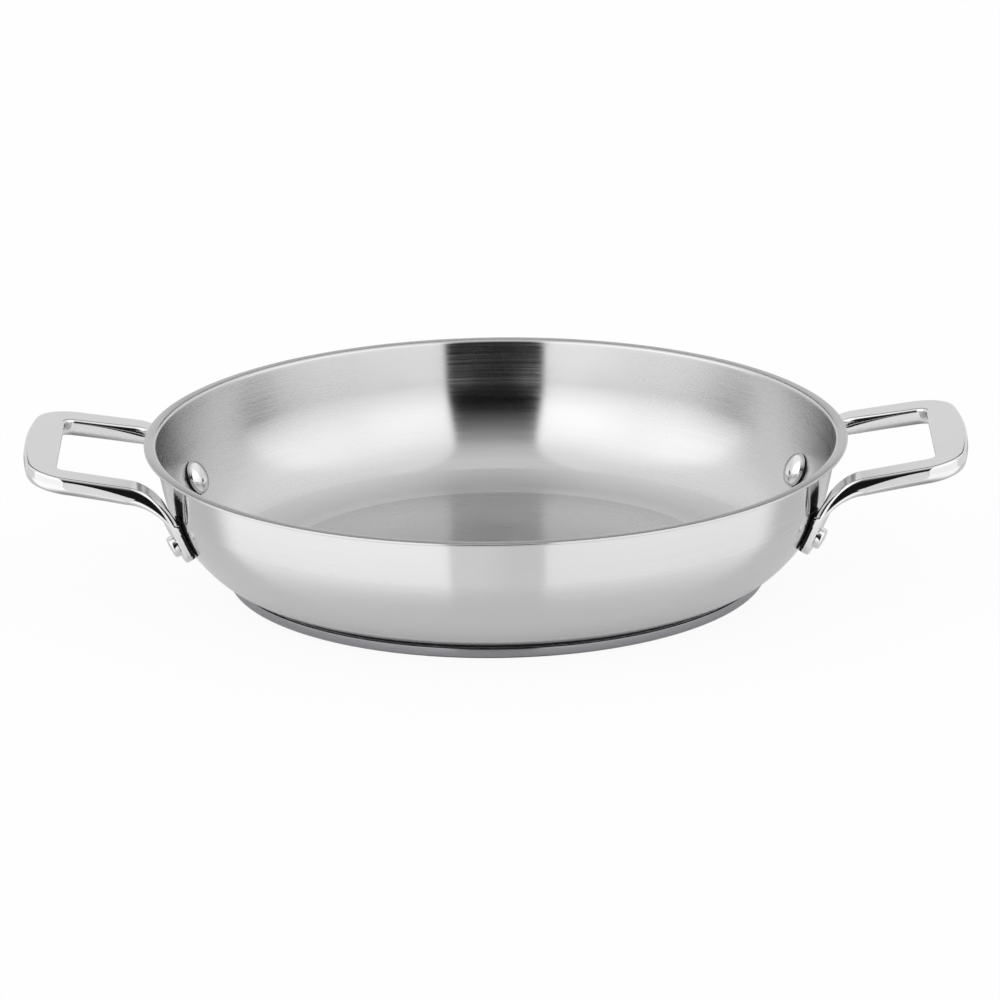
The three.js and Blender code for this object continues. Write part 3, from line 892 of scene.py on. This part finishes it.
class PAN_OT_make_handles(bpy.types.Operator):
    """Builds the polished loop handles, seated on the wall and drilled for their rivets"""
    bl_idname = "pan.make_handles"
    bl_label = "Handles"

    def execute(self, context):
        scene = context.scene
        lines = HandleLines(scene)
        finish = polished_steel("Polished Handle Steel", scene.pan_finish.polish, 0.05)
        darkened = painted_shade_metal("Painted Shade Handle Steel", scene.pan_finish.painted_shading)
        for side, turn in (("right", 0.0), ("left", math.pi)):
            skin = handle_skin(lines)
            mesh = bpy.data.meshes.new(f"loop_handle_{side}")
            skin.to_mesh(mesh)
            skin.free()
            piece = bpy.data.objects.new(mesh.name, mesh)
            scene.collection.objects.link(piece)
            drilled(piece, drill_mesh(lines, scene.pan_rivets.shank + scene.pan_rivets.gap))
            piece.data.name = piece.name
            piece.data.materials.clear()
            piece.data.materials.append(finish)
            piece.data.materials.append(darkened)
            # Painted shade: faces by the wall seam and on the leg's side towards the wall go near-black,
            # standing for the dark reflections there.
            for face in piece.data.polygons:
                face.material_index = int(in_painted_shade(lines, face))
            piece.data.transform(Matrix.Rotation(turn, 4, "Z"))
            piece.data.shade_smooth()
            piece.data.set_sharp_from_angle(angle=SHARP)
            hand_over(piece, "handle_steel", f"handle_{side}")
        return {"FINISHED"}


# Rivets

RIVET_SIZES = ("Wall", "Gap", "Shank", "Inner Head", "Inner Rise", "Inner Edge", "Foot Thickness",
               "Outer Head", "Outer Height", "Outer Round", "Seat Radius", "Seat Height", "Slope", "Turn",
               "Side Radius", "Side Middle", "Side Height")
RIVET_FACES = 64
HEAD_GAP = 0.05 * MM
SHADE_EDGE_SHARE = 0.7
HEAD_FLAT = 0.5
HEAD_RUN = 1


def on_inner_wall(tree, geometry, size, run):
    """One run of the profile, drawn back off the curved inner wall where it would run into it."""
    place = node(tree, "GeometryNodeInputPosition").outputs[0]
    x, y, z = parts(tree, place)
    radius = diagonal(tree, x, y)
    out, rise = minus(tree, radius, size["Side Middle"]), minus(tree, z, size["Side Height"])
    allowed = minus(tree, minus(tree, size["Side Radius"], size["Wall"]), HEAD_GAP)
    share = maths(tree, "MINIMUM", divided(tree, allowed, diagonal(tree, out, rise)), 1.0)
    drawn = divided(tree, plus(tree, size["Side Middle"], times(tree, out, share)), radius)
    moved = vector(tree, times(tree, x, drawn), times(tree, y, drawn),
                   plus(tree, size["Side Height"], times(tree, rise, share)))
    chosen = node(tree, "FunctionNodeCompare", {"data_type": "FLOAT", "operation": "EQUAL"},
                  {0: stored(tree, "run"), 1: float(run), "Epsilon": HALF_STEP}).outputs[0]
    return node(tree, "GeometryNodeSetPosition", None,
                {"Geometry": geometry, "Selection": chosen, "Position": moved}).outputs[0]


def rivet_tree():
    tree, size = new_geometry_tree("Rivets", RIVET_SIZES, ("Finish", "Painted Shade Finish"))
    under = negative(tree, plus(tree, size["Wall"], size["Gap"]))
    brim = minus(tree, under, size["Inner Edge"])
    seat = plus(tree, size["Foot Thickness"], times(tree, size["Gap"], 2.0))
    top = plus(tree, seat, size["Outer Height"])
    round_x = minus(tree, size["Outer Head"], size["Outer Round"])
    round_y = minus(tree, top, size["Outer Round"])
    outline = Profile(tree)
    outline.arc((0.0, brim), (size["Inner Head"], size["Inner Rise"]), -QUARTER, QUARTER, 0, points=20)
    # Painted shade: most of the upright edge under the dome, and the shank, take the near-black finish, a
    # dark crease round the head.
    shade_start = minus(tree, under, times(tree, size["Inner Edge"], SHADE_EDGE_SHARE))
    outline.line((size["Inner Head"], shade_start), (size["Inner Head"], under), 1)
    outline.line((size["Shank"], under), (size["Shank"], size["Gap"]), 1)
    outline.line((size["Shank"], seat), (size["Outer Head"], seat), 0)
    outline.arc((round_x, round_y), (size["Outer Round"], size["Outer Round"]), 0.0, QUARTER, 0, points=8)
    outline.line((times(tree, round_x, HEAD_FLAT), top), (0.0, top), 0)
    rivet = shaded(tree, outline.turned(size["Segments"]))
    points, rotation = seat_points(tree, size["Seat Radius"], size["Seat Height"],
                                   size["Slope"], size["Turn"])
    rivets = node(tree, "GeometryNodeInstanceOnPoints", None,
                  {"Points": points, "Instance": rivet, "Rotation": rotation})
    placed = node(tree, "GeometryNodeRealizeInstances", None, {"Geometry": rivets.outputs[0]}).outputs[0]
    seated = on_inner_wall(tree, placed, size, HEAD_RUN)
    painted(tree, seated, [size["Finish"], size["Painted Shade Finish"]])
    return tree


class PAN_OT_make_rivets(bpy.types.Operator):
    """Places a domed rivet through each leg's foot and the wall"""
    bl_idname = "pan.make_rivets"
    bl_label = "Rivets"

    def execute(self, context):
        scene = context.scene
        rivet, shape, seat = scene.pan_rivets, bowl_shape(scene), rivet_seat(scene)
        piece = plain_mesh("rivets", rivet_tree(), {
            "Wall": scene.pan_bowl.wall, "Gap": rivet.gap, "Shank": rivet.shank,
            "Inner Head": rivet.inner_head, "Inner Rise": rivet.inner_rise, "Inner Edge": rivet.inner_edge,
            "Foot Thickness": scene.pan_handle.foot_thickness, "Outer Head": rivet.outer_head,
            "Outer Height": rivet.outer_height, "Outer Round": rivet.outer_round,
            "Seat Radius": seat.radius, "Seat Height": seat.height, "Slope": seat.slope, "Turn": seat.turn,
            "Segments": RIVET_FACES, "Side Radius": shape.side_radius, "Side Middle": shape.side_middle,
            "Side Height": shape.side_height,
            "Finish": polished_steel("Polished Rivet Steel", scene.pan_finish.polish, 0.06),
            "Painted Shade Finish": painted_shade_metal("Painted Shade Metal", scene.pan_finish.painted_shading),
        })
        hand_over(piece, "rivet_steel", "rivet_left_front", "rivet_left_rear", "rivet_right_front",
                  "rivet_right_rear")
        return {"FINISHED"}


# Finishes

NOISE_LOW, NOISE_HIGH = 0.3, 0.7
LINE_LOW, LINE_HIGH = 0.25, 0.75
LINE_PITCH = 0.45 * MM
LINE_DRIFT = 1.2
GRAIN = 0.03
PATCH = 0.02
ACROSS_LINES = 0.25
CLOUD_SIZE = 40 * MM
SCRATCH_SIZE = 3 * MM
HAZE_TINT = (0.98, 1.02)
FILM_LOW, FILM_HIGH = 0.35, 0.65
FILM_SHARES = (0.8, 1.2)
HAIR_LOW, HAIR_HIGH = 0.55, 0.8
HAIR_STRETCH = (0.1, 1.0, 1.0)
HAIR_ROUGHNESS = 0.03
HAIR_BUMP = 0.01
HAIR_DEPTH = 0.05 * MM
JOINT_TINT = (0.8, 1.2)
JOINT_ROUGHNESS = (0.5, 0.65)
ROLLED_STRETCH = (0.05, 1.0, 1.0)
ROLLED_TINT = (0.92, 1.05)
ROLLED_ROUGHNESS = (0.45, 0.6)
COARSE_FROM = 0.88
FINE_FROM = 0.97
GRAZING_FROM = 12 * MM
GRAZING_FULL = 40 * MM


def empty_material(name):
    material = bpy.data.materials.new(name)
    material.use_nodes = True
    material.node_tree.nodes.clear()
    return material, material.node_tree


def new_metal(name):
    material, tree = empty_material(name)
    metal = node(tree, "ShaderNodeBsdfPrincipled", None, {"Metallic": 1.0})
    node(tree, "ShaderNodeOutputMaterial", None, {"Surface": metal.outputs[0]})
    return material, tree, metal


def noise(tree, place, scale, detail=2.0):
    made = node(tree, "ShaderNodeTexNoise", {"noise_dimensions": "3D"},
                {"Vector": place, "Scale": scale, "Detail": detail})
    return made.outputs["Fac"]


def varied(tree, texture, start, end):
    """A level that wanders from start to end with a noise."""
    return ramp(tree, texture, NOISE_LOW, NOISE_HIGH, start, end)


def stretched(tree, place, scale):
    return node(tree, "ShaderNodeMapping", None, {"Vector": place, "Scale": scale}).outputs[0]


def tinted(tree, base, share):
    """The base colour, made lighter or darker by a share."""
    made = node(tree, "ShaderNodeVectorMath", {"operation": "SCALE"}, {0: tuple(base)[:3], "Scale": share})
    return made.outputs[0]


def brushed_steel(name, base, roughness, stretch=0.85, contrast=0.02, coarser=0.0, upper_shade=1.0):
    """Steel turned on a lathe: fine lines round the axis, with highlights drawn out across them.
    It can be coarser by the handles, and higher up its reflections at glancing angles are dimmed, a painted
    shade in the specular tint."""
    material, tree, metal = new_metal(name)
    place = object_place(tree)
    x, y, z = parts(tree, place)
    radius = diagonal(tree, x, y)
    around = maths(tree, "ARCTAN2", y, x)
    turned = vector(tree, times(tree, radius, 1 / LINE_PITCH), times(tree, around, LINE_DRIFT),
                    times(tree, z, 1 / LINE_PITCH))
    lines = noise(tree, turned, 1.0, detail=3.0)
    clouds = noise(tree, place, 1 / CLOUD_SIZE)
    shade = ramp(tree, lines, LINE_LOW, LINE_HIGH, 1 - contrast, 1 + contrast)
    plug(tree, metal.inputs["Base Color"], tinted(tree, base, shade))
    grain = varied(tree, lines, -GRAIN, GRAIN)
    patch = varied(tree, clouds, roughness - PATCH, roughness + PATCH)
    from_handles = divided(tree, absolute(tree, y), radius)
    coarse = ramp(tree, from_handles, COARSE_FROM, FINE_FROM, coarser, 0.0)
    plug(tree, metal.inputs["Roughness"], plus(tree, plus(tree, patch, grain), coarse))
    # Painted shade: the specular tint dims the glancing reflections higher up the wall.
    mirrored = ramp(tree, z, GRAZING_FROM, GRAZING_FULL, 1.0, upper_shade)
    plug(tree, metal.inputs["Specular Tint"], mirrored)
    plug(tree, metal.inputs["Anisotropic"], stretch)
    plug(tree, metal.inputs["Anisotropic Rotation"], ACROSS_LINES)
    tangent = node(tree, "ShaderNodeTangent", {"direction_type": "RADIAL", "axis": "Z"})
    plug(tree, metal.inputs["Tangent"], tangent.outputs[0])
    return material


def polished_steel(name, base, roughness):
    """Mirror-polished steel with the faint haze and hairlines of use."""
    material, tree, metal = new_metal(name)
    place = object_place(tree)
    haze = noise(tree, place, 1 / CLOUD_SIZE, detail=3.0)
    hairs = noise(tree, stretched(tree, place, HAIR_STRETCH), 1 / SCRATCH_SIZE, detail=4.0)
    plug(tree, metal.inputs["Base Color"], tinted(tree, base, varied(tree, haze, *HAZE_TINT)))
    least, most = (roughness * share for share in FILM_SHARES)
    film = ramp(tree, haze, FILM_LOW, FILM_HIGH, least, most)
    rough_hairs = ramp(tree, hairs, HAIR_LOW, HAIR_HIGH, 0.0, HAIR_ROUGHNESS)
    plug(tree, metal.inputs["Roughness"], plus(tree, film, rough_hairs))
    bump = node(tree, "ShaderNodeBump", None,
                {"Strength": HAIR_BUMP, "Distance": HAIR_DEPTH, "Height": hairs})
    plug(tree, metal.inputs["Normal"], bump.outputs[0])
    return material


def painted_shade_metal(name, base):
    """Near-black metal: painted shade for the grooves, creases and seams between pieces, where shadow and
    dark reflections fall.
    """
    material, tree, metal = new_metal(name)
    place = object_place(tree)
    stain = noise(tree, place, 1 / SCRATCH_SIZE, detail=3.0)
    plug(tree, metal.inputs["Base Color"], tinted(tree, base, varied(tree, stain, *JOINT_TINT)))
    plug(tree, metal.inputs["Roughness"], varied(tree, stain, *JOINT_ROUGHNESS))
    return material


def rolled_aluminium(base):
    """Plain rolled sheet, with its lines all one way."""
    material, tree, metal = new_metal("Rolled Core Aluminium")
    place = object_place(tree)
    lines = noise(tree, stretched(tree, place, ROLLED_STRETCH), 1 / LINE_PITCH, detail=3.0)
    plug(tree, metal.inputs["Base Color"], tinted(tree, base, varied(tree, lines, *ROLLED_TINT)))
    plug(tree, metal.inputs["Roughness"], varied(tree, lines, *ROLLED_ROUGHNESS))
    return material


# Stage

WHITE = (1, 1, 1, 1)
CLIP_NEAR, CLIP_FAR = 0.05, 50.0
FLOOR_HALF = 6.0
FLOOR_DROP = 0.05 * MM
SHADOW_SHARE = 0.07
MIRRORED_WHITE = 0.3
NEAR_FLOOR = 0.118
FAR_FLOOR = 0.2
CRISP_EDGE = math.radians(1)
SOFT_EDGE = math.radians(7)
SIDE_BLEND = 0.1
SEAM_HALF = math.radians(2)
SEAM_LIGHT = 0.7
STRIP_NARROWS = 0.55
LOW_START = math.radians(6)
LOW_END = math.radians(32)
ROOF_START = math.radians(35)
ROOF_END = math.radians(85)
BACK_START = math.radians(14)
BACK_END = math.radians(32)
SLIT_MIDDLE = math.radians(27)
SLIT_HALF = math.radians(8)
DEEP_START = math.radians(38)
DEEP_END = math.radians(80)
AIM_RIGHT = 1.4 * MM
AIM_BELOW = 25.5 * MM


def floor_material(base, covered):
    """White to the camera with a trace of shadow. Far off and under the pan, metal sees through it."""
    material, tree = empty_material("Studio Floor")
    matt = node(tree, "ShaderNodeBsdfDiffuse", None, {"Color": tuple(base)}).outputs[0]
    white = node(tree, "ShaderNodeEmission", None, {"Color": WHITE, "Strength": 1.0}).outputs[0]
    clear = node(tree, "ShaderNodeBsdfTransparent").outputs[0]
    ray = node(tree, "ShaderNodeLightPath").outputs
    mirrored = maths(tree, "MAXIMUM", ray["Is Glossy Ray"], ray["Is Transmission Ray"])
    seen_white = times(tree, ray["Is Camera Ray"], 1 - SHADOW_SHARE)
    share = plus(tree, seen_white, times(tree, mirrored, MIRRORED_WHITE))
    surface = mix_shader(tree, share, matt, white)
    place = object_place(tree)
    reach = node(tree, "ShaderNodeVectorMath", {"operation": "LENGTH"}, {0: place}).outputs["Value"]
    under = maths(tree, "LESS_THAN", reach, covered)
    away = maths(tree, "MAXIMUM", ramp(tree, reach, NEAR_FLOOR, FAR_FLOOR), under)
    surface = mix_shader(tree, times(tree, mirrored, away), surface, clear)
    below = node(tree, "ShaderNodeNewGeometry").outputs["Backfacing"]
    sided = mix_shader(tree, below, surface, clear)
    node(tree, "ShaderNodeOutputMaterial", None, {"Surface": sided})
    return material


def studio_world(look):
    """A light tent: bright sides and roof, a greyer back, and a dark gap where the camera looks in."""
    world = bpy.data.worlds.new("Light Tent")
    world.use_nodes = True
    tree = world.node_tree
    tree.nodes.clear()
    way = node(tree, "ShaderNodeTexCoord").outputs["Generated"]
    x, y, z = parts(tree, way)
    aside = absolute(tree, x)
    around = maths(tree, "ARCTAN2", aside, negative(tree, y))
    rise = maths(tree, "ARCSINE", z)
    rightward = ramp(tree, x, -SIDE_BLEND, SIDE_BLEND)
    sides = mix_level(tree, rightward, look.left_light, look.right_light)
    middle = math.sin(look.gap_half)
    strip = ramp(tree, absolute(tree, rise), 0.0, QUARTER, middle, middle * STRIP_NARROWS)
    in_strip = ramp(tree, minus(tree, aside, strip), -CRISP_EDGE, CRISP_EDGE, 1.0, 0.0)
    behind = ramp(tree, y, -SIDE_BLEND, SIDE_BLEND)

    def step_at(value, place, edge):
        """Rises from 0 to 1 where the value passes a place."""
        return ramp(tree, value, place - edge, place + edge)

    back = ramp(tree, rise, BACK_START, BACK_END, look.back_light, look.roof_light)
    lifted = times(tree, sides, ramp(tree, rise, LOW_START, LOW_END, look.low_share, 1.0))
    walls = mix_level(tree, step_at(around, look.seam, SOFT_EDGE), lifted, back)
    from_seam = absolute(tree, minus(tree, around, look.seam))
    off_seam = ramp(tree, from_seam, 0.0, SEAM_HALF, SEAM_LIGHT, 1.0)
    roofward = ramp(tree, rise, ROOF_START, ROOF_END)
    upper = mix_level(tree, roofward, times(tree, walls, off_seam), look.roof_light)
    fading = ramp(tree, rise, look.gap_start, look.gap_top, look.dark, look.gap_light)
    from_slit = absolute(tree, minus(tree, rise, SLIT_MIDDLE))
    slit = mix_level(tree, step_at(from_slit, SLIT_HALF, CRISP_EDGE), look.slit_light, look.back_light)
    upper = mix_level(tree, in_strip, upper, mix_level(tree, behind, fading, slit))
    table = mix_level(tree, step_at(around, look.low_seam, SOFT_EDGE), sides, look.back_light)
    deep = ramp(tree, rise, -DEEP_START, -DEEP_END, look.table_share, look.table_share * look.deep_light)
    lower = times(tree, times(tree, table, deep), mix_level(tree, in_strip, 1.0, look.front_table))
    tent = mix_level(tree, step_at(rise, -look.gap_end, CRISP_EDGE), lower, upper)
    seen = node(tree, "ShaderNodeLightPath").outputs["Is Camera Ray"]
    light = mix_level(tree, seen, tent, 1.0)
    shine = node(tree, "ShaderNodeBackground", None, {"Color": WHITE, "Strength": light})
    node(tree, "ShaderNodeOutputWorld", None, {"Surface": shine.outputs[0]})
    return world


def place_camera(scene):
    look = scene.pan_stage
    rim_centre = Vector((0.0, 0.0, scene.pan_bowl.height))
    back = Vector((0.0, -math.cos(look.elevation), math.sin(look.elevation)))
    right = Vector((1.0, 0.0, 0.0))
    up = back.cross(right)
    lens = bpy.data.cameras.new("Camera")
    lens.lens = look.lens
    lens.clip_start, lens.clip_end = CLIP_NEAR, CLIP_FAR
    camera = bpy.data.objects.new("Camera", lens)
    scene.collection.objects.link(camera)
    camera.location = rim_centre + back * look.distance
    aim = rim_centre + right * AIM_RIGHT - up * AIM_BELOW
    turn = (aim - camera.location).to_track_quat("-Z", "Y").to_matrix() @ Matrix.Rotation(look.roll, 3, "Z")
    camera.rotation_euler = turn.to_euler()
    scene.camera = camera


class PAN_OT_set_stage(bpy.types.Operator):
    """Lays the floor, hangs the light tent and places the camera"""
    bl_idname = "pan.set_stage"
    bl_label = "Stage"

    def execute(self, context):
        scene = context.scene
        sheet = bmesh.new()
        bmesh.ops.create_grid(sheet, x_segments=1, y_segments=1, size=FLOOR_HALF,
                              matrix=Matrix.Translation((0.0, 0.0, -FLOOR_DROP)))
        mesh = bpy.data.meshes.new("studio_floor")
        sheet.to_mesh(mesh)
        sheet.free()
        mesh.materials.append(floor_material(scene.pan_finish.floor, scene.pan_base.radius))
        floor = bpy.data.objects.new("studio_floor", mesh)
        scene.collection.objects.link(floor)
        scene.world = studio_world(scene.pan_stage)
        place_camera(scene)
        scene.view_settings.view_transform = "Standard"
        return {"FINISHED"}


# Sidebar and registration


class PAN_PT_sidebar(bpy.types.Panel):
    """Lists the pan's pieces and sizes"""
    bl_label = "Omelet Pan"
    bl_idname = "PAN_PT_sidebar"
    bl_space_type = "VIEW_3D"
    bl_region_type = "UI"
    bl_category = "Pan"

    def draw(self, context):
        for operator in OPERATORS:
            self.layout.operator(operator.bl_idname)
        for name, group in GROUPS.items():
            box = self.layout.box()
            box.label(text=group.__doc__)
            for key in group.__annotations__:
                box.prop(getattr(context.scene, name), key)


GROUPS = {
    "pan_bowl": BowlSizes,
    "pan_base": BaseSizes,
    "pan_handle": HandleSizes,
    "pan_rivets": RivetSizes,
    "pan_finish": Finishes,
    "pan_stage": StageLook,
}
OPERATORS = (PAN_OT_make_bowl, PAN_OT_make_base, PAN_OT_make_handles, PAN_OT_make_rivets, PAN_OT_set_stage)


def register():
    for name, group in GROUPS.items():
        bpy.utils.register_class(group)
        setattr(bpy.types.Scene, name, PointerProperty(type=group))
    for operator in OPERATORS:
        bpy.utils.register_class(operator)
    bpy.utils.register_class(PAN_PT_sidebar)


def unregister():
    bpy.utils.unregister_class(PAN_PT_sidebar)
    for operator in reversed(OPERATORS):
        bpy.utils.unregister_class(operator)
    for name, group in GROUPS.items():
        delattr(bpy.types.Scene, name)
        bpy.utils.unregister_class(group)


def main():
    register()
    bpy.ops.pan.make_bowl()
    bpy.ops.pan.make_base()
    bpy.ops.pan.make_handles()
    bpy.ops.pan.make_rivets()
    bpy.ops.pan.set_stage()
    bpy.context.view_layer.update()


if __name__ == "__main__":
    main()
